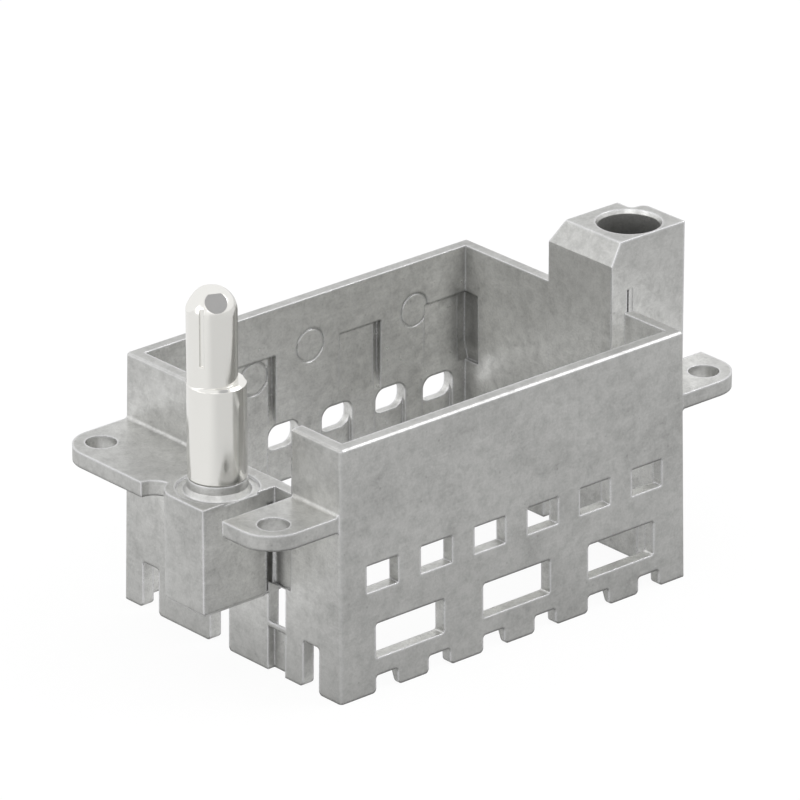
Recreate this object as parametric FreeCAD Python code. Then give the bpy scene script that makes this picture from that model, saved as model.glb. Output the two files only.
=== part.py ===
import FreeCAD, Part
import os
from math import cos, radians, sin, sqrt

# Die cast docking frame for three plug-in contact modules, with one turned guide pin.
# All sizes are in millimetres. The origin is the centre of the frame at the height of the feet.
# X runs along the length from the pin end to the tower end, Y from the front wall to the back wall.

# Frame walls
rim_length = 47.2           # outside, at the rim
rim_width = 34.0
rim_height = 28.0
rim_bevel = 0.2             # along the outer edge of the rim
wall = 1.4
wall_flare = 0.38           # how far each outer face leans out between rim and feet
corner_round = 0.4          # upright outer corners

# Modules: everything on the long walls repeats with them
module_count = 3
module_pitch = 14.65
first_module = 9.3          # middle of the first module from the outside of the pin end

# Small latch windows, two to a module: sharp in the front wall, well rounded in the back wall
latch_spacing = 7.33
latch_width = 4.25
latch_height = 3.0
latch_middle = 12.87
front_window_shift = -0.25  # all windows of the front wall stand a little nearer to the pin end
back_latch_corner = 1.25
back_latch_rise = 0.2       # above the front ones
back_latch_strays = {3: (0.15, 0.0), 4: (0.38, 0.0), 5: (-0.2, -0.5)}    # off the pitch, in X and Z
back_channel_depth = 0.45   # shallow channel from each of them down to the large window

# Large windows, one to a module in both long walls
window_width = 9.3
window_height = 3.85
window_sill = 3.8
window_corner = 0.3

# Feet: each module has one foot between two notches
foot_width = 4.2
foot_offset = 0.12          # from the middle of the module towards the tower
foot_notch_width = 2.95
foot_notch_height = 1.85
foot_round = 0.5
notch_root = 0.35
foot_inner_round = 0.5      # along the inner lower edge of every wall
wall_lead_in = (0.25, 3.2)  # depth and rise of the slope inside both long walls, at their lower edge
foot_lead_in = (0.95, 2.4)  # steeper slope behind the foot of each module

# Slots that rise from the lower edge of the end walls, from the front face
end_slot_height = 5.2
end_slots = ((3.1, 2.45), (28.7, 2.55))      # start and width of the tall slots
end_gap_start = 17.35
end_gap_width = 2.95
end_gap_height = 6.4

# Shallow channel beside each guide boss, cut through above the ears
relief_start = 7.6          # from the front face of the frame
relief_bottom = 10.0
relief_depth = 0.3
side_window_start = 8.4
side_window_width = 2.7
side_window_bottom = 5.55
side_window_top = 9.9
side_sill_drop = 0.9        # the sill slopes down to the inside
latch_pocket_depth = 0.9
latch_pocket_top = 4.9

# Ears with the fixing holes
ear_top = 20.7
ear_thickness = 1.7
ear_reach = 9.5             # beyond the rim
ear_width = 7.1
ear_inset = 0.2             # from the face of the long wall
ear_round = 3.9
ear_fillet = 0.45
ear_hole_diameter = 3.3
ear_hole_out = 6.1
ear_hole_in = 3.3           # from the face of the long wall
flange_start = 20.1         # where the wide back ear begins, from the front face
flange_hollow = 2.0         # round corner between the back ear and the boss

# Axes of the guide pin and the guide bore
pin_out = 4.35              # beyond the rim
pin_from_front = 14.15
bore_out = 4.47
bore_from_front = 13.37

# Pin block
block_reach = 9.4
block_front = 10.4
block_back = 18.45
block_bottom = 8.6
block_corner = 2.9
block_edge = 0.5
block_relief_depth = 1.0
block_relief_start = 1.1    # from the outer face of the end wall
spot_diameter = 8.6
spot_depth = 0.25
boss_height = 1.25          # low round boss about the pin, above the block
boss_diameter = 6.26        # at its top
boss_draft = 0.05
boss_foot_diameter = 7.1    # where it meets the spot face
boss_foot_height = 0.6

# Tower
tower_top = 35.05
tower_front = 9.6
tower_back = 19.4
tower_reach = 7.2
tower_nose_reach = 9.0
tower_nose_back = 15.9
tower_nose_round = 0.9
tower_hollow = 0.7
tower_slope_height = 2.5
tower_slope_inner = 1.25
tower_slope_back = 1.3
bore_diameter = 6.7
bore_mouth_diameter = 7.1
bore_mouth_depth = 0.45

# Guide pin
pin_diameter = 6.2
pin_foot_edge = 0.15        # bevel where the shank stands on the boss
pin_seat_diameter = 5.0
pin_seat_depth = 9.0
pin_shoulder = 11.87        # above the block
pin_shoulder_slope = 0.28
pin_nose_diameter = 5.27
pin_nose_shift = 0.42       # the slimmer end is turned off centre
pin_nose_shift_angle = 138.8
pin_height = 21.7           # above the block
pin_tip_diameter = 2.7      # round flat on top of the ball end
pin_flats = ((150.0, 42.0, 0.58), (245.0, 39.6, 0.28))    # direction, tilt and depth on the ball end
pin_slot_width = 0.5
pin_slot_depth = 0.2
pin_slot_bottom = 14.17
pin_slot_angle = 207.0

# Recesses on the inside of the back wall
key_groove_width = 0.9
key_groove_depth = 0.75
key_groove_top = 22.6
key_groove_bottom = 16.7
key_groove_run_out = 2.0    # slope from the floor back to the wall, below the bottom
key_groove_offset = 9.45    # from the middle of each module
key_pocket_width = 4.9
key_pocket_depth = 0.3
key_pocket_bottom = 17.4
key_pocket_run_out = 2.3
corner_groove_inset = 0.85  # from the inside of the tower end wall
corner_pocket_width = 1.9   # how far the last groove turns into the tower end wall
corner_pocket_depth = 0.55
ejector_diameter = 3.9
ejector_ring_width = 0.2
ejector_ring_depth = 0.12
ejector_middle = 22.5
ejector_pocket_offset = 7.05    # one more mark in the first pocket, from the middle of its module
ejector_pocket_middle = 20.65

# Two parting lines of a die insert in the front face of the tower, the second one faint
slit_out = 0.95             # beyond the rim
slit_spacing = 0.62
faint_slit_depth = 0.06
slit_width = 0.2
slit_depth = 0.35
slit_bottom = 26.8
slit_top = 29.4

small = 0.01
over = 1.0                  # how far a cutter reaches past the face that it cuts

half_length = rim_length / 2
half_width = rim_width / 2
front = -half_width
back = half_width
pin_end = -half_length
tower_end = half_length


def vec(x, y, z):
    return FreeCAD.Vector(x, y, z)


def box(x0, x1, y0, y1, z0, z1):
    return Part.makeBox(x1 - x0, y1 - y0, z1 - z0, vec(x0, y0, z0))


def upright(radius, x, y, z0, z1):
    return Part.makeCylinder(radius, z1 - z0, vec(x, y, z0))


def module_middles():
    start = pin_end + first_module
    return [start + k * module_pitch for k in range(module_count)]


def latch_middles():
    half = latch_spacing / 2
    return [middle + side * half for middle in module_middles() for side in (-1, 1)]


def face_at(height):
    """How far an outer wall face stands outside the rim at this height."""
    return wall_flare * (1 - height / rim_height)


def tapered_block(half_x, half_y, z0, z1):
    """Solid with flat faces that leans out towards its foot like the walls of the frame."""
    x0, y0 = half_x + face_at(z0), half_y + face_at(z0)
    x1, y1 = half_x + face_at(z1), half_y + face_at(z1)
    block = Part.makeWedge(-x0, z0, -y0, -y1, -x1, x0, z1, y0, y1, x1)
    block.rotate(vec(0, 0, 0), vec(1, 0, 0), 90)
    return block


def upright_edges(shape):
    """Edges that rise from the lowest to the highest level of the shape."""
    bounds = shape.BoundBox
    return [e for e in shape.Edges if e.BoundBox.ZLength > bounds.ZLength - small]


def frame_walls():
    body = tapered_block(half_length, half_width, 0, rim_height)
    body = body.makeFillet(corner_round, upright_edges(body))
    body = body.makeChamfer(rim_bevel, [e for e in body.Edges if e.BoundBox.ZMin > rim_height - small])
    cavity = tapered_block(half_length - wall, half_width - wall, -over, rim_height + over)
    body = body.cut(cavity)
    inside = wall / 2 - wall_flare
    inner_foot = [e for e in body.Edges
                  if e.BoundBox.ZMax < small and e.BoundBox.DiagonalLength > half_width
                  and abs(e.CenterOfMass.x) < half_length - inside
                  and abs(e.CenterOfMass.y) < half_width - inside]
    return body.makeFillet(foot_inner_round, inner_foot)


def notch_profile(width, height, mouth, root):
    """Outline of a notch open downwards, with round lips at its mouth and round inner corners."""
    half = width / 2
    turn = 1 - sin(radians(45))
    points = {
        "mouth": (half + mouth, 0), "lip": (half + mouth * turn, mouth * turn), "side": (half, mouth),
        "shoulder": (half, height - root), "bend": (half - root * turn, height - root * turn),
        "top": (half - root, height),
    }
    def at(name, side):
        u, z = points[name]
        return vec(side * u, 0, z)
    floor = -over
    low_right, low_left = vec(half + mouth, 0, floor), vec(-half - mouth, 0, floor)
    edges = [
        Part.LineSegment(low_left, low_right), Part.LineSegment(low_right, at("mouth", 1)),
        Part.Arc(at("mouth", 1), at("lip", 1), at("side", 1)),
        Part.LineSegment(at("side", 1), at("shoulder", 1)),
        Part.Arc(at("shoulder", 1), at("bend", 1), at("top", 1)),
        Part.LineSegment(at("top", 1), at("top", -1)),
        Part.Arc(at("top", -1), at("bend", -1), at("shoulder", -1)),
        Part.LineSegment(at("shoulder", -1), at("side", -1)),
        Part.Arc(at("side", -1), at("lip", -1), at("mouth", -1)),
        Part.LineSegment(at("mouth", -1), low_left),
    ]
    return Part.Face(Part.Wire([edge.toShape() for edge in edges]))


def notch(width, height, middle, long_wall, near, far):
    """Cutter for one notch. Near and far are the reach along the direction of the cut."""
    cutter = notch_profile(width, height, foot_round, notch_root).extrude(vec(0, far - near, 0))
    if long_wall:
        cutter.translate(vec(middle, near, 0))
    else:
        cutter.translate(vec(0, near, 0))
        cutter.rotate(vec(0, 0, 0), vec(0, 0, 1), -90)
        cutter.translate(vec(0, middle, 0))
    return cutter


def lead_in(x0, x1, side, depth, rise):
    """Cutter for a slope at the inner lower edge of a long wall. Side is -1 in front, 1 at the back."""
    top = side * (half_width - wall + face_at(rise))
    low = side * (half_width - wall + wall_flare + depth)
    below = low + (low - top) * over / rise
    inside = top - side * over
    points = [vec(x0, top, rise), vec(x0, below, -over), vec(x0, inside, -over), vec(x0, inside, rise)]
    return Part.Face(Part.makePolygon(points + points[:1])).extrude(vec(x1 - x0, 0, 0))


def window(x_middle, width, z0, height, y0, y1):
    return box(x_middle - width / 2, x_middle + width / 2, y0, y1, z0, z0 + height)


def rounded_window(x_middle, width, z0, height, corner, y0, y1):
    cutter = window(x_middle, width, z0, height, y0, y1)
    along = [e for e in cutter.Edges if e.BoundBox.YLength > (y1 - y0) - small]
    return cutter.makeFillet(corner, along)


def long_wall_cutters():
    """Windows, latch windows and foot notches of both long walls."""
    front_near, front_far = front - over, front + wall + over
    back_near, back_far = back - wall - over, back + over
    cutters = []
    for middle in module_middles():
        for near, far, along in ((front_near, front_far, front_window_shift), (back_near, back_far, 0)):
            cutters.append(rounded_window(middle + along, window_width, window_sill, window_height,
                                          window_corner, near, far))
            shift = (foot_width + foot_notch_width) / 2
            for side in (-1, 1):
                notch_middle = middle + foot_offset + side * shift
                cutters.append(notch(foot_notch_width, foot_notch_height, notch_middle, True, near, far))
        reach = (foot_width + foot_notch_width) / 2
        cutters += [lead_in(middle - reach, middle + reach, side, *foot_lead_in) for side in (-1, 1)]
    cutters += [lead_in(pin_end + wall, tower_end - wall, side, *wall_lead_in) for side in (-1, 1)]
    for number, middle in enumerate(latch_middles()):
        cutters.append(window(middle + front_window_shift, latch_width, latch_middle - latch_height / 2,
                              latch_height, front_near, front_far))
        along, up = back_latch_strays.get(number, (0, 0))
        cutters.append(back_latch(middle + along, latch_middle + back_latch_rise + up,
                                  back_near, back_far))
    return cutters


def back_latch(middle, height, near, far):
    """Latch window of the back wall with its shallow channel down to the large window."""
    hole = rounded_window(middle, latch_width, height - latch_height / 2, latch_height,
                          back_latch_corner, near, far)
    face = back - wall + face_at(height)
    half = latch_width / 2
    channel = box(middle - half, middle + half, near, face + back_channel_depth,
                  window_sill + window_height - small, height)
    return hole.fuse(channel)


def end_wall_cutters(outward):
    """Slots along the lower edge of one end wall. Outward is -1 at the pin end, 1 at the tower."""
    face = outward * half_length
    near, far = sorted((face + outward * over, face - outward * (wall + over)))
    cutters = []
    for start, width in end_slots:
        cutters.append(notch(width, end_slot_height, front + start + width / 2, False, near, far))
    cutters.append(notch(end_gap_width, end_gap_height, front + end_gap_start + end_gap_width / 2,
                         False, near, far))
    side_near = front + side_window_start
    cutters.append(box(near, far, side_near, side_near + side_window_width,
                       side_window_bottom, side_window_top))
    cutters.append(sloped_sill(outward, side_near))
    pocket_face = face + outward * wall_flare - outward * latch_pocket_depth
    pocket_near, pocket_far = sorted((pocket_face, face + outward * over))
    cutters.append(box(pocket_near, pocket_far, side_near, side_near + side_window_width,
                       -over, latch_pocket_top))
    return cutters


def sloped_sill(outward, side_near):
    """Cutter that lets the sill of the side window slope down towards the modules."""
    outside = outward * (half_length + face_at(side_window_bottom))
    inside = outside - outward * wall
    past = inside - outward * over
    low = side_window_bottom - side_sill_drop * (1 + over / wall)
    points = [vec(outside, side_near, side_window_bottom), vec(past, side_near, low),
              vec(past, side_near, side_window_bottom)]
    return Part.Face(Part.makePolygon(points + points[:1])).extrude(vec(0, side_window_width, 0))


def ear(outward, from_front, width, outer_corner_at_front):
    """Flat fixing ear on one end wall, with one round corner over its hole."""
    root = outward * (half_length - wall / 2)
    tip = outward * (half_length + ear_reach)
    x0, x1 = sorted((root, tip))
    y0 = front + from_front
    plate = box(x0, x1, y0, y0 + width, ear_top - ear_thickness, ear_top)
    corner_y = y0 if outer_corner_at_front else y0 + width
    picked = [e for e in upright_edges(plate)
              if abs(e.CenterOfMass.x - tip) < small and abs(e.CenterOfMass.y - corner_y) < small]
    return plate.makeFillet(ear_round, picked)


def flange_web(outward):
    """Plate that joins the wide back ear to the boss, with a round hollow at its outer corner."""
    root = outward * (half_length - wall / 2)
    tip = outward * (half_length + ear_reach)
    x0, x1 = sorted((root, tip))
    y0, y1 = front + block_back - over, front + flange_start
    web = box(x0, x1, y0, y1 + small, ear_top - ear_thickness, ear_top)
    hollow_x = outward * (half_length + ear_reach)
    hollow = upright(flange_hollow, hollow_x, y1 - flange_hollow, ear_top - ear_thickness - over,
                     ear_top + over)
    slot_y = y1 - flange_hollow
    trim_x0, trim_x1 = sorted((hollow_x + outward * over, hollow_x - outward * flange_hollow))
    trim = box(trim_x0, trim_x1, y0 - over, slot_y, ear_top - ear_thickness - over, ear_top + over)
    return web.cut(hollow).cut(trim)


def ears(outward):
    near = ear(outward, ear_inset, ear_width, True)
    far_width = rim_width - ear_inset - flange_start
    far = ear(outward, flange_start, far_width, False)
    return [near, far, flange_web(outward)]


def ear_hole_points():
    x = half_length + ear_hole_out
    y = half_width - ear_hole_in
    return [(sx * x, sy * y) for sx in (-1, 1) for sy in (-1, 1)]


def pin_block():
    x0, x1 = pin_end - block_reach, pin_end + wall
    y0, y1 = front + block_front, front + block_back
    block = box(x0, x1, y0, y1, block_bottom, ear_top)
    outer = [e for e in upright_edges(block) if abs(e.CenterOfMass.x - x0) < small]
    far_corner = [e for e in outer if e.CenterOfMass.y > (y0 + y1) / 2]
    block = block.makeFillet(block_corner, far_corner)
    under = [e for e in block.Edges
             if e.BoundBox.ZMax < block_bottom + small and e.CenterOfMass.x < pin_end]
    block = block.makeChamfer(block_edge, under)
    relief = box(pin_end - block_relief_start, x1 + over, y0 - over, y0 + block_relief_depth,
                 side_window_top - over, ear_top - ear_thickness)
    return block.cut(relief)


def tower():
    x0, x1 = tower_end - wall, tower_end + tower_reach
    y0, y1 = front + tower_front, front + tower_back
    body = box(x0, x1, y0, y1, block_bottom, tower_top)
    nose = box(tower_end, tower_end + tower_nose_reach, y0, front + tower_nose_back,
               block_bottom, tower_top)
    rounded = [e for e in upright_edges(nose)
               if e.CenterOfMass.x > x1 and e.CenterOfMass.y > y0 + small]
    nose = nose.makeFillet(tower_nose_round, rounded)
    body = body.fuse(nose).removeSplitter()
    hollow = [e for e in upright_edges(body)
              if abs(e.CenterOfMass.x - x1) < small
              and abs(e.CenterOfMass.y - (front + tower_nose_back)) < small]
    body = body.makeFillet(tower_hollow, hollow)
    low = tower_top - tower_slope_height
    inner = wedge_along_y(x0, low, x0 + tower_slope_inner, y0 - over, y1 + over)
    rear = wedge_along_x(y1, low, y1 - tower_slope_back, x0 - over, x1 + over)
    return body.cut(inner).cut(rear)


def wedge_along_y(x_low, z_low, x_high, y0, y1):
    """Cutter for a slope that starts at x_low, z_low and reaches the tower top at x_high."""
    side = -1 if x_high > x_low else 1
    reach = x_high + (x_high - x_low) * over / tower_slope_height
    top = tower_top + over
    points = [vec(x_low, y0, z_low), vec(reach, y0, top), vec(x_low + side * over, y0, top),
              vec(x_low + side * over, y0, z_low)]
    return Part.Face(Part.makePolygon(points + points[:1])).extrude(vec(0, y1 - y0, 0))


def wedge_along_x(y_low, z_low, y_high, x0, x1):
    side = -1 if y_high > y_low else 1
    reach = y_high + (y_high - y_low) * over / tower_slope_height
    top = tower_top + over
    points = [vec(x0, y_low, z_low), vec(x0, reach, top), vec(x0, y_low + side * over, top),
              vec(x0, y_low + side * over, z_low)]
    return Part.Face(Part.makePolygon(points + points[:1])).extrude(vec(x1 - x0, 0, 0))


def pin_point():
    return pin_end - pin_out, front + pin_from_front


def pin_boss():
    """Low boss on the spot face: a steep foot, then a wall with draft up to the shank of the pin."""
    x, y = pin_point()
    floor = ear_top - spot_depth
    waist = floor + boss_foot_height
    top = ear_top + boss_height
    radius = boss_diameter / 2
    foot = Part.makeCone(boss_foot_diameter / 2, radius + boss_draft, boss_foot_height, vec(x, y, floor))
    upper = Part.makeCone(radius + boss_draft, radius, top - waist, vec(x, y, waist))
    return foot.fuse(upper)


def spot_face():
    x, y = pin_point()
    return upright(spot_diameter / 2, x, y, ear_top - spot_depth, ear_top + over)


def pin_seat():
    """Round space of the pin's press seat, from deep in the block up to the top of the boss."""
    x, y = pin_point()
    return upright(pin_seat_diameter / 2, x, y, ear_top - pin_seat_depth, ear_top + boss_height)


def guide_bore():
    """Cutter for the bore through the tower, with its wider mouth."""
    x, y = tower_end + bore_out, front + bore_from_front
    bore = upright(bore_diameter / 2, x, y, block_bottom - over, tower_top + over)
    mouth = Part.makeCone(bore_diameter / 2, bore_mouth_diameter / 2, bore_mouth_depth,
                          vec(x, y, tower_top - bore_mouth_depth))
    return bore.fuse(mouth)


def relief_channels():
    """Channels that part the front corner of each end wall from the boss beside it."""
    cutters = []
    for outward, boss in ((-1, block_front), (1, tower_front)):
        face = outward * half_length
        y0, y1 = front + relief_start, front + boss
        near, far = sorted((face - outward * (wall + over), face + outward * over))
        cutters.append(box(near, far, y0, y1, ear_top, rim_height + over))
        floor = face + outward * (face_at(relief_bottom) - relief_depth)
        near, far = sorted((floor, face + outward * over))
        cutters.append(box(near, far, y0, y1, relief_bottom, ear_top))
    return cutters


def mate_opening():
    """Gap in the pin end wall, above the block, where the tower of the mating frame drops in."""
    return box(pin_end - over, pin_end + wall + over, front + relief_start,
               front + tower_back + over, ear_top, rim_height + over)


def upright_recess(x0, x1, near, depth, bottom, run_out):
    """Cutter into the back wall. Near is where it opens, and its lower end slopes out to the face."""
    face = back - wall
    deep = face + depth
    foot = bottom - run_out
    points = [vec(x0, near, key_groove_top), vec(x0, deep, key_groove_top),
              vec(x0, deep, bottom), vec(x0, face + face_at(foot), foot), vec(x0, near, foot)]
    return Part.Face(Part.makePolygon(points + points[:1])).extrude(vec(x1 - x0, 0, 0))


def key_recesses():
    """Grooves inside the back wall, each with a shallow pocket beside it. The last turns the corner."""
    face = back - wall
    cutters = []
    for middle in module_middles():
        x0 = middle + key_groove_offset - key_groove_width / 2
        x1 = x0 + key_groove_width
        near = face - over
        if x1 > tower_end - wall:
            x0 = tower_end - wall - corner_groove_inset
            x1 = tower_end - wall + corner_pocket_depth
            near = face - corner_pocket_width
        cutters.append(upright_recess(x0, x1, near, key_groove_depth, key_groove_bottom,
                                      key_groove_run_out))
        cutters.append(upright_recess(x0 - key_pocket_width, x0, face - over, key_pocket_depth,
                                      key_pocket_bottom, key_pocket_run_out))
    return cutters


def ejector_ring(x, z, face):
    outer = Part.makeCylinder(ejector_diameter / 2, over + ejector_ring_depth, vec(x, face - over, z),
                              vec(0, 1, 0))
    inner = Part.makeCylinder(ejector_diameter / 2 - ejector_ring_width, over + ejector_ring_depth,
                              vec(x, face - over, z), vec(0, 1, 0))
    return outer.cut(inner)


def ejector_marks():
    """Round witness marks of the ejector pins on the inside of the back wall."""
    face = back - wall + face_at(ejector_middle)
    rings = [ejector_ring(middle, ejector_middle, face) for middle in module_middles()]
    pocket_floor = back - wall + key_pocket_depth
    rings.append(ejector_ring(module_middles()[0] + ejector_pocket_offset, ejector_pocket_middle,
                              pocket_floor))
    return rings


def tower_slits():
    x = tower_end + slit_out
    y = front + tower_front
    lines = ((x, slit_depth), (x + slit_spacing, faint_slit_depth))
    return [box(middle - slit_width / 2, middle + slit_width / 2, y - over, y + depth,
                slit_bottom, slit_top) for middle, depth in lines]


def ear_fillets(body):
    """Round the corners where the ears meet the end walls, above and below."""
    picked = []
    for edge in body.Edges:
        box_of = edge.BoundBox
        for level in (ear_top, ear_top - ear_thickness):
            at_level = abs(box_of.ZMin - level) < small and abs(box_of.ZMax - level) < small
            at_wall = abs(abs(edge.CenterOfMass.x) - half_length - face_at(level)) < 2 * small
            if at_level and at_wall and box_of.YLength > ear_width / 2:
                picked.append(edge)
    return body.makeFillet(ear_fillet, picked)


def frame_casting():
    parts = ears(-1) + ears(1) + [pin_block(), tower()]
    walls = frame_walls()
    walls = walls.cut([mate_opening()] + relief_channels())
    body = ear_fillets(walls.multiFuse(parts).removeSplitter())
    holes = [upright(ear_hole_diameter / 2, x, y, ear_top - ear_thickness - over, ear_top + over)
             for x, y in ear_hole_points()]
    cutters = long_wall_cutters() + end_wall_cutters(-1) + end_wall_cutters(1)
    cutters += [spot_face(), guide_bore()] + holes + key_recesses() + ejector_marks() + tower_slits()
    body = body.cut(cutters).fuse(pin_boss()).cut(pin_seat())
    return body.removeSplitter()


def pin_end_ball(radius):
    """Ball end of the pin about the origin, with a small round top and slanted flats on its side."""
    top = sqrt(radius ** 2 - (pin_tip_diameter / 2) ** 2)
    ball = Part.makeSphere(radius).common(Part.makeCylinder(radius, top))
    for angle, tilt, depth in pin_flats:
        flat = box(radius - depth, radius + over, -radius, radius, -radius, radius)
        flat.rotate(vec(0, 0, 0), vec(0, 1, 0), -tilt)
        flat.rotate(vec(0, 0, 0), vec(0, 0, 1), angle)
        ball = ball.cut(flat)
    return ball, top


def guide_pin():
    """Turned pin: seat, thick shank, and a slimmer end turned off centre."""
    x, y = pin_point()
    foot = ear_top + boss_height
    shoulder = ear_top + pin_shoulder
    shank = upright(pin_diameter / 2, x, y, foot, shoulder - pin_shoulder_slope)
    foot_rim = [e for e in shank.Edges if e.BoundBox.ZMax < foot + small]
    shank = shank.makeChamfer(pin_foot_edge, foot_rim)
    angle = radians(pin_nose_shift_angle)
    nose_x, nose_y = x + pin_nose_shift * cos(angle), y + pin_nose_shift * sin(angle)
    radius = pin_nose_diameter / 2
    slope = Part.makeCone(pin_diameter / 2, pin_diameter / 2 - pin_shoulder_slope, pin_shoulder_slope,
                          vec(x, y, shoulder - pin_shoulder_slope))
    ball, ball_height = pin_end_ball(radius)
    ball_middle = ear_top + pin_height - ball_height
    ball.translate(vec(nose_x, nose_y, ball_middle))
    nose = upright(radius, nose_x, nose_y, shoulder - pin_shoulder_slope - over, ball_middle)
    pin = pin_seat().multiFuse([shank, slope, nose, ball]).removeSplitter()
    slot = box(radius - pin_slot_depth, radius + over, -pin_slot_width / 2, pin_slot_width / 2,
               ear_top + pin_slot_bottom, ear_top + pin_height)
    slot.rotate(vec(0, 0, 0), vec(0, 0, 1), pin_slot_angle)
    slot.translate(vec(nose_x, nose_y, 0))
    return pin.cut(slot)


def main():
    os.makedirs("parts", exist_ok=True)
    nodes = {"frame_casting": frame_casting(), "guide_pin": guide_pin()}
    for name, shape in nodes.items():
        solids = shape.Solids
        print(name, "solids", len(solids), "valid", shape.isValid(), "volume", round(shape.Volume, 1))
        solid = solids[0] if len(solids) == 1 else Part.makeCompound(solids)
        solid.exportStep(os.path.join("parts", name + ".step"))


main()
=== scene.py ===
from math import pi, radians

import bpy
from bpy.props import FloatProperty, FloatVectorProperty, PointerProperty
from bpy.types import Operator, Panel, PropertyGroup
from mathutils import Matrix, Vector

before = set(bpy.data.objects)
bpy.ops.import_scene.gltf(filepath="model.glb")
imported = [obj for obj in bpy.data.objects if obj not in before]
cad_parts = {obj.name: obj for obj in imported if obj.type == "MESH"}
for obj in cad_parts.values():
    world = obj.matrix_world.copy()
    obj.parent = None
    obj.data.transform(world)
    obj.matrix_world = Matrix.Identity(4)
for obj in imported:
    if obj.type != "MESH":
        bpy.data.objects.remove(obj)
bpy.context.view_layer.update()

bl_info = {
    "name": "Die cast docking frame",
    "version": (1, 0, 0),
    "blender": (4, 5, 0),
    "location": "View3D > Sidebar > Docking frame",
    "description": (
        "Dresses the cast docking frame and its turned guide pin, and sets up the studio"),
    "category": "Object",
}

MM = 0.001
CASTING = "frame_casting"
PIN = "guide_pin"

EDGE_SAMPLES = 6
WEAR_SAMPLES = 4
SHELTER_SAMPLES = 6
WAVE_SPAN = 2 * pi / 20             # length of one band of the wave texture at scale 1

FLOOR_HALF = 3.0
FLOOR_GLOSS = 0.3                   # share of white the metal sees in the paper up front
PAPER_GLOW = 0.92                   # the rest of the paper takes the soft shadow
BRIGHT_SIDE = (-0.66, 0.75, 0.0)    # direction from the part in which the paper is lit best
BRIGHT_FROM = 0.04                  # distance along it at which the paper is fully white
CARD_HALF = 0.075
CARD_SPOT = (-0.028, -0.19, 0.28)

LAMP_AIM = (0, 0, 0.02)
SOFTBOXES = {                       # where each one stands, and the length of its sides
    "left": ((-0.68, 0.07, 0.16), 0.4),
    "back": ((-0.43, 0.43, 0.36), 0.4),
    "front": ((-0.43, -0.43, 0.36), 0.4),
    "rim": ((0.42, -0.28, 0.48), 0.3),
}

AIM = (1.30 * MM, 2.38 * MM, 20.25 * MM)
SENSOR_WIDTH = 36
VIEW_END = 20


def linear(code):
    """Linear colour of an sRGB hex code."""
    channels = [int(code[k:k + 2], 16) / 255 for k in (1, 3, 5)]
    return tuple(c / 12.92 if c <= 0.04045 else ((c + 0.055) / 1.055) ** 2.4 for c in channels)


def opaque(colour):
    return (*colour, 1.0)


def colour_setting(name, description, code):
    return FloatVectorProperty(name=name, description=description, subtype="COLOR",
                               default=linear(code), min=0, max=1)


def length_setting(name, description, millimetres):
    return FloatProperty(name=name, description=description, unit="LENGTH",
                         default=millimetres * MM)


def power_setting(name, description, watts):
    return FloatProperty(name=name, description=description, unit="POWER", default=watts)


class CastingSettings(PropertyGroup):
    skin: colour_setting(
        "Skin", "Grey of the outside, dulled and darkened a little by tumbling", "#BEBEBC")
    # Painted light: how much paler the skin is made in the hollows, standing in for light bouncing
    # inside the frame.
    painted_hollow_light: FloatProperty(
        name="Sheltered skin", default=1.9,
        description="How much paler the skin is where the tumbling didn't reach")
    stain: colour_setting(
        "Stain", "Darker grey where the metal met the die cold or the release agent burnt on",
        "#888886")
    # Partly real wear and partly painted highlight: the brighter metal is laid only on
    # upward-facing edges, where the light catches them.
    burnish_and_highlight: colour_setting(
        "Burnished edge", "Brighter metal along edges that were tumbled and handled", "#E4E4E6")
    # Painted shadow: the dark grey laid on downward-facing edges, where the contact shadow falls.
    shadow_grey: colour_setting("Grime", "Dark grey that stays on the lower edges", "#2E2E2C")
    cloud: length_setting("Cloud size", "Width of the broad lighter and darker fields", 7.0)
    mottle: length_setting("Mottle size", "Width of the small blotches", 1.3)
    grain: length_setting("Grain size", "Width of the fine grain of the cast skin", 0.25)
    flow: length_setting(
        "Flow line width", "Height of the faint level lines that the flowing metal left", 0.35)
    pit: length_setting("Pit spacing", "Distance between the fine dark pits", 1.5)
    edge: length_setting("Edge radius", "Radius of the tumbled edges", 0.15)
    wear: length_setting("Wear width", "Width of the rubbed strip beside an edge", 0.5)
    # Depth of the hollow test that drives the painted hollow light.
    reach: length_setting(
        "Shelter depth", "How deep a hollow must be to keep its paler skin", 45.0)
    # Painted shade: width of the bores, grooves and corners in which the skin is darkened, where
    # shade falls.
    crevice: length_setting(
        "Crevice width", "Width of the bores, grooves and corners that hold dark dust", 7.0)
    metal: FloatProperty(
        name="Bare metal", description="Share of the skin that shines as metal through its oxide",
        default=0.86)


class PinSettings(PropertyGroup):
    plating: colour_setting("Plating", "Warm white of bright nickel", "#E6E5E1")
    feed: length_setting(
        "Turning bands", "Distance between the faint bands that the turning left", 1.0053)
    haze: length_setting("Haze size", "Width of the slightly duller fields of the plating", 2.5)
    edge: length_setting("Edge radius", "Radius of the turned edges", 0.1)


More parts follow.
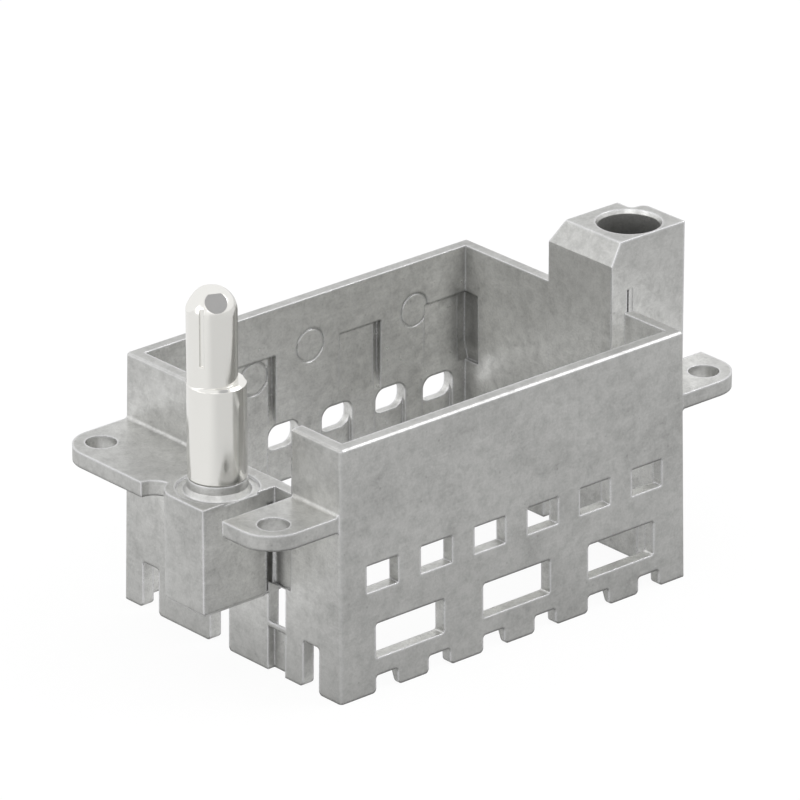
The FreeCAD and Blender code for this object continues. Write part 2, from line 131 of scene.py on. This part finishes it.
class StudioSettings(PropertyGroup):
    floor: colour_setting(
        "Floor", "Pale grey of the table, which sets how much light it throws back", "#C8C8C8")
    card: colour_setting(
        "Card", "Grey of the card that gives the pin's flats their darker side", "#CACACD")
    backdrop: colour_setting("Backdrop", "White of the paper as the camera sees it", "#FFFFFF")
    room: FloatProperty(
        name="Room light", description="Strength of the white room as the object sees it",
        default=1.05)
    left_power: power_setting("Left light", "Power of the low softbox at the pin end", 0.5)
    back_power: power_setting("Back light", "Power of the softbox behind the pin end", 0.2)
    front_power: power_setting(
        "Front light", "Power of the softbox over the camera's left side", 0.4)
    rim_power: power_setting(
        "Rim light", "Power of the small softbox that draws the bright line on the rim", 0.9)
    azimuth: FloatProperty(
        name="Azimuth", description="Direction in which the camera looks, from +Y towards +X",
        unit="ROTATION", default=radians(41.241))
    elevation: FloatProperty(
        name="Elevation", description="Height of the camera above the horizon",
        unit="ROTATION", default=radians(23.372))
    distance: length_setting(
        "Distance", "Distance from the camera to the point it looks at", 793.963)
    lens: FloatProperty(
        name="Lens", description="Focal length on a 36 mm sensor", unit="CAMERA", default=342.04)


def new_material(name):
    material = bpy.data.materials.new(name)
    material.use_nodes = True
    material.node_tree.nodes.clear()
    return material


def add_node(tree, kind, inputs, output=0, **settings):
    """Adds a node with its settings, values and links, and gives back one of its outputs."""
    node = tree.nodes.new(kind)
    for name, value in settings.items():
        setattr(node, name, value)
    for key, value in inputs.items():
        socket = next(s for s in node.inputs if key in (s.identifier, s.name))
        if isinstance(value, bpy.types.NodeSocket):
            tree.links.new(value, socket)
        else:
            socket.default_value = value
    if isinstance(output, str):
        return next(s for s in node.outputs if output in (s.identifier, s.name))
    return node.outputs[output] if node.outputs else node


def ramp(tree, value, start, stop, low, high):
    """Turns start to stop into low to high, and holds the ends."""
    return add_node(tree, "ShaderNodeMapRange", {
        "Value": value, "From Min": start, "From Max": stop, "To Min": low, "To Max": high})


def calculate(tree, operation, first, second, clamp=False):
    return add_node(tree, "ShaderNodeMath", {"Value": first, "Value_001": second},
                    operation=operation, use_clamp=clamp)


def noise(tree, place, size, detail, roughness=0.5, distortion=0.0):
    """Noise whose features are about size metres across."""
    return add_node(tree, "ShaderNodeTexNoise", {
        "Vector": place, "Scale": 1 / size, "Detail": detail, "Roughness": roughness,
        "Distortion": distortion}, "Fac")


def openness(tree, reach):
    """How open the surface lies towards its own piece, from 0 in a deep hollow to 1."""
    return add_node(tree, "ShaderNodeAmbientOcclusion", {"Distance": reach}, "AO",
                    samples=SHELTER_SAMPLES, only_local=True)


def blend(tree, share, first, second):
    return add_node(tree, "ShaderNodeMix", {
        "Factor_Float": share, "A_Color": first, "B_Color": second},
        "Result_Color", data_type="RGBA")


def scaled(tree, colour, factor):
    return add_node(tree, "ShaderNodeVectorMath", {"Vector": colour, "Scale": factor}, "Vector",
                    operation="SCALE")


def bump(tree, strength, depth, height, normal):
    return add_node(tree, "ShaderNodeBump", {
        "Strength": strength, "Distance": depth * MM, "Height": height, "Normal": normal})


def cast_skin(tree, settings, place, patterns, hollowness):
    """Colour of the skin: stained in clouds and blotches, with dark pits, and painted paler in the
    hollows as a stand-in for the light that bounces there.
    """
    cloud, mottle, grain = patterns
    level = add_node(tree, "ShaderNodeVectorMath", {
        "Vector": place, "Vector_001": (0.12, 0.12, 1.0)}, operation="MULTIPLY")
    flow = noise(tree, level, settings.flow, 2.0)
    pits = add_node(tree, "ShaderNodeTexVoronoi", {
        "Vector": place, "Scale": 1 / settings.pit, "Randomness": 1.0}, "Distance")

    broad = ramp(tree, cloud, 0.42, 0.7, 0.0, ramp(tree, hollowness, 0.0, 1.0, 0.22, 0.28))
    small = ramp(tree, mottle, 0.42, 0.74, 0.0, ramp(tree, hollowness, 0.0, 1.0, 0.32, 0.42))
    fine = ramp(tree, grain, 0.35, 0.7, 0.0, 0.24)
    lines = ramp(tree, flow, 0.55, 0.75, 0.0, 0.12)
    stained = calculate(tree, "ADD", broad, small)
    stained = calculate(tree, "ADD", stained, fine)
    stained = calculate(tree, "SUBTRACT", stained, lines, clamp=True)

    skin = blend(tree, stained, opaque(settings.skin), opaque(settings.stain))
    # Painted light: the skin is brightened in the hollows.
    skin = scaled(tree, skin, ramp(tree, hollowness, 0.0, 1.0, 1.0, settings.painted_hollow_light))
    crowd = ramp(tree, cloud, 0.4, 0.6, 0.05, 0.14)
    return scaled(tree, skin, ramp(tree, pits, 0.0, crowd, 0.7, 1.0))


def cast_zinc(settings):
    """Zinc alloy, die cast and tumbled: a dull grey skin, clouded and mottled, with worn edges that
    carry a painted highlight on their upper side, painted shade in its corners, painted shadow
    along the lower edges and a skin painted paler in its hollows."""
    material = new_material("zinc_alloy_die_cast_tumbled")
    tree = material.node_tree
    place = add_node(tree, "ShaderNodeTexCoord", {}, "Object")
    facing = add_node(tree, "ShaderNodeNewGeometry", {}, "Normal")
    rounded = add_node(tree, "ShaderNodeBevel", {"Radius": settings.edge}, samples=EDGE_SAMPLES)
    cloud = noise(tree, place, settings.cloud, 3.0, 0.55)
    mottle = noise(tree, place, settings.mottle, 4.0, 0.65, 0.3)
    grain = noise(tree, place, settings.grain, 3.0, 0.6)
    # hollowness is 1 deep inside the frame and 0 in the open; it drives the painted hollow light,
    # more mottle and a smoother skin.
    hollowness = ramp(tree, openness(tree, settings.reach), 0.77, 0.62, 0.0, 1.0)

    wide = add_node(tree, "ShaderNodeBevel", {"Radius": settings.wear}, samples=WEAR_SAMPLES)
    turn = add_node(tree, "ShaderNodeVectorMath", {"Vector": facing, "Vector_001": wide}, "Value",
                    operation="DOT_PRODUCT")
    edge = ramp(tree, turn, 0.97, 0.8, 0.0, 1.0)
    # upward is 1 on upward-facing rounded edges and 0 on downward ones; it splits the edges into
    # painted highlight above and painted shadow below.
    lift = add_node(tree, "ShaderNodeSeparateXYZ", {"Vector": wide}, "Z")
    upward = ramp(tree, lift, -0.36, -0.06, 0.0, 1.0)
    shadowed_edge = calculate(tree, "MULTIPLY", edge, calculate(tree, "SUBTRACT", 1.0, upward))
    rubbed_and_lit_edge = calculate(tree, "MULTIPLY", edge, upward)

    skin = cast_skin(tree, settings, place, (cloud, mottle, grain), hollowness)
    # Painted shade: darker colour where the surface is hemmed in by its own piece.
    shade = ramp(tree, openness(tree, settings.crevice), 0.25, 0.82, 0.38, 1.0)
    colour = scaled(tree, skin, shade)
    # Painted shadow along the downward-facing edges.
    colour = blend(tree, shadowed_edge, colour, opaque(settings.shadow_grey))
    # Worn edges, brightened on their upper side as a painted highlight.
    colour = blend(tree, rubbed_and_lit_edge, colour, opaque(settings.burnish_and_highlight))

    satin = calculate(tree, "MULTIPLY", ramp(tree, mottle, 0.3, 0.7, 0.36, 0.46),
                      ramp(tree, hollowness, 0.0, 1.0, 1.0, 0.75))
    rubbed = ramp(tree, mottle, 0.35, 0.65, 0.2, 0.38)
    rough = add_node(tree, "ShaderNodeMix", {
        "Factor_Float": edge, "A_Float": satin, "B_Float": rubbed}, "Result_Float")
    normal = bump(tree, 0.35, 0.03, grain, bump(tree, 0.2, 0.1, mottle, rounded))
    surface = add_node(tree, "ShaderNodeBsdfPrincipled", {
        "Base Color": colour, "Metallic": settings.metal, "Roughness": rough, "Normal": normal})
    add_node(tree, "ShaderNodeOutputMaterial", {"Surface": surface})
    return material


def nickel_steel(settings):
    """Free cutting steel, turned and bright nickel plated: a warm mirror with faint turning
    bands and slightly duller fields."""
    material = new_material("steel_turned_bright_nickel")
    tree = material.node_tree
    place = add_node(tree, "ShaderNodeTexCoord", {}, "Object")
    rounded = add_node(tree, "ShaderNodeBevel", {"Radius": settings.edge}, samples=EDGE_SAMPLES)
    rings = add_node(tree, "ShaderNodeTexWave", {
        "Vector": place, "Scale": WAVE_SPAN / settings.feed, "Distortion": 0.6,
        "Detail": 2.0, "Detail Scale": 1.0}, "Fac", bands_direction="Z")
    haze = noise(tree, place, settings.haze, 3.0)
    surface = add_node(tree, "ShaderNodeBsdfPrincipled", {
        "Base Color": opaque(settings.plating), "Metallic": 1.0,
        "Roughness": ramp(tree, haze, 0.3, 0.7, 0.14, 0.2),
        "Normal": bump(tree, 0.08, 0.01, rings, rounded)})
    add_node(tree, "ShaderNodeOutputMaterial", {"Surface": surface})
    return material


def seen_directly(tree, gloss):
    """Share of plain white that a ray gets: nearly all of it for the camera, less for the metal."""
    camera, through, glossy = (
        add_node(tree, "ShaderNodeLightPath", {}, name)
        for name in ("Is Camera Ray", "Is Transmission Ray", "Is Glossy Ray"))
    straight = calculate(tree, "MAXIMUM", camera, through)
    return calculate(tree, "MAXIMUM", straight, calculate(tree, "MULTIPLY", glossy, gloss))


def white_paper(settings):
    """Seamless white paper: the camera and the metal see it white, and it keeps a soft shadow."""
    material = new_material("seamless_paper_white")
    tree = material.node_tree
    place = add_node(tree, "ShaderNodeTexCoord", {}, "Object")
    # Painted light: the paper glows whiter for the metal towards BRIGHT_SIDE, standing in for the
    # paper being lit best there.
    behind = add_node(tree, "ShaderNodeVectorMath", {
        "Vector": place, "Vector_001": BRIGHT_SIDE}, "Value", operation="DOT_PRODUCT")
    gloss = ramp(tree, behind, 0.0, BRIGHT_FROM, FLOOR_GLOSS, 1.0)
    share = calculate(tree, "MULTIPLY", seen_directly(tree, gloss), PAPER_GLOW)
    for_camera = add_node(tree, "ShaderNodeLightPath", {}, "Is Camera Ray")
    table = blend(tree, for_camera, opaque(settings.floor), opaque(settings.backdrop))
    paper = add_node(tree, "ShaderNodeBsdfDiffuse", {"Color": table})
    glow = add_node(tree, "ShaderNodeEmission", {
        "Color": opaque(settings.backdrop), "Strength": 1.0})
    mixed = add_node(tree, "ShaderNodeMixShader", {
        "Fac": share, "Shader": paper, "Shader_001": glow})
    add_node(tree, "ShaderNodeOutputMaterial", {"Surface": mixed})
    return material


def matt_card(settings):
    """Uncoated grey card: an even, dull grey."""
    material = new_material("card_grey_matt")
    face = add_node(material.node_tree, "ShaderNodeBsdfDiffuse", {"Color": opaque(settings.card)})
    add_node(material.node_tree, "ShaderNodeOutputMaterial", {"Surface": face})
    return material


def dress(node, material):
    """Gives a carried-over solid its material in every slot."""
    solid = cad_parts[node]
    if not solid.material_slots:
        raise RuntimeError(node + " has no material slot")
    for slot in solid.material_slots:
        slot.material = material


class DOCKING_OT_cast_finish(Operator):
    """Give the casting its tumbled zinc skin"""
    bl_idname = "docking.cast_finish"
    bl_label = "Finish the casting"

    def execute(self, context):
        dress(CASTING, cast_zinc(context.scene.docking_casting))
        return {"FINISHED"}


class DOCKING_OT_pin_finish(Operator):
    """Give the guide pin its bright plating"""
    bl_idname = "docking.pin_finish"
    bl_label = "Finish the guide pin"

    def execute(self, context):
        dress(PIN, nickel_steel(context.scene.docking_pin))
        return {"FINISHED"}


def add_square(name, half, material):
    """Adds a level square sheet around the origin."""
    mesh = bpy.data.meshes.new(name)
    corners = [(-half, -half, 0), (half, -half, 0), (half, half, 0), (-half, half, 0)]
    mesh.from_pydata(corners, [], [(0, 1, 2, 3)])
    mesh.materials.append(material)
    sheet = bpy.data.objects.new(name, mesh)
    bpy.context.scene.collection.objects.link(sheet)
    return sheet


def add_floor(settings):
    floor = add_square("floor", FLOOR_HALF, white_paper(settings))


def add_flag(settings):
    """Grey card above the front, which shows in the bright metal."""
    flag = add_square("flag", CARD_HALF, matt_card(settings))
    flag.location = CARD_SPOT
    flag.rotation_euler = Vector(CARD_SPOT).to_track_quat("Z", "Y").to_euler()


def add_softbox(name, spot, side, power):
    lamp = bpy.data.lights.new(name, "AREA")
    lamp.shape = "RECTANGLE"
    lamp.size = lamp.size_y = side
    lamp.energy = power
    holder = bpy.data.objects.new(name, lamp)
    holder.location = spot
    holder.rotation_euler = (Vector(LAMP_AIM) - Vector(spot)).to_track_quat("-Z", "Y").to_euler()
    bpy.context.scene.collection.objects.link(holder)


def add_world(settings):
    """White room: plain white where the camera looks, the room's own strength elsewhere."""
    world = bpy.data.worlds.new("studio")
    bpy.context.scene.world = world
    world.use_nodes = True
    tree = world.node_tree
    tree.nodes.clear()
    sky = add_node(tree, "ShaderNodeBackground", {
        "Color": opaque(settings.backdrop),
        "Strength": ramp(tree, seen_directly(tree, 0.0), 0.0, 1.0, settings.room, 1.0)})
    add_node(tree, "ShaderNodeOutputWorld", {"Surface": sky})


def add_camera(settings):
    camera = bpy.data.cameras.new("camera")
    camera.sensor_width = SENSOR_WIDTH
    camera.lens = settings.lens
    camera.clip_end = VIEW_END
    holder = bpy.data.objects.new("camera", camera)
    holder.rotation_euler = (radians(90) - settings.elevation, 0, -settings.azimuth)
    back = holder.rotation_euler.to_matrix() @ Vector((0, 0, 1))
    holder.location = Vector(AIM) + back * settings.distance
    bpy.context.scene.collection.objects.link(holder)
    bpy.context.scene.camera = holder


class DOCKING_OT_stage(Operator):
    """Set up the white floor, the softboxes, the world and the camera"""
    bl_idname = "docking.stage"
    bl_label = "Build the studio"

    def execute(self, context):
        settings = context.scene.docking_studio
        context.scene.view_settings.view_transform = "Standard"
        add_floor(settings)
        add_flag(settings)
        add_world(settings)
        for name, (spot, side) in SOFTBOXES.items():
            add_softbox(name + "_softbox", spot, side, getattr(settings, name + "_power"))
        add_camera(settings)
        return {"FINISHED"}


OPERATORS = (DOCKING_OT_cast_finish, DOCKING_OT_pin_finish, DOCKING_OT_stage)


class DOCKING_PT_panel(Panel):
    """Lists the steps and the settings of the docking frame"""
    bl_label = "Docking frame"
    bl_idname = "DOCKING_PT_panel"
    bl_space_type = "VIEW_3D"
    bl_region_type = "UI"
    bl_category = "Docking frame"

    def draw(self, context):
        for operator in OPERATORS:
            self.layout.operator(operator.bl_idname)
        for group in (context.scene.docking_casting, context.scene.docking_pin,
                      context.scene.docking_studio):
            column = self.layout.column()
            for name in group.__annotations__:
                column.prop(group, name)


CLASSES = (CastingSettings, PinSettings, StudioSettings, *OPERATORS, DOCKING_PT_panel)


def register():
    for item in CLASSES:
        bpy.utils.register_class(item)
    bpy.types.Scene.docking_casting = PointerProperty(type=CastingSettings)
    bpy.types.Scene.docking_pin = PointerProperty(type=PinSettings)
    bpy.types.Scene.docking_studio = PointerProperty(type=StudioSettings)


def unregister():
    del bpy.types.Scene.docking_studio
    del bpy.types.Scene.docking_pin
    del bpy.types.Scene.docking_casting
    for item in reversed(CLASSES):
        bpy.utils.unregister_class(item)


def main():
    register()
    bpy.ops.docking.cast_finish()
    bpy.ops.docking.pin_finish()
    bpy.ops.docking.stage()


if __name__ == "__main__":
    main()
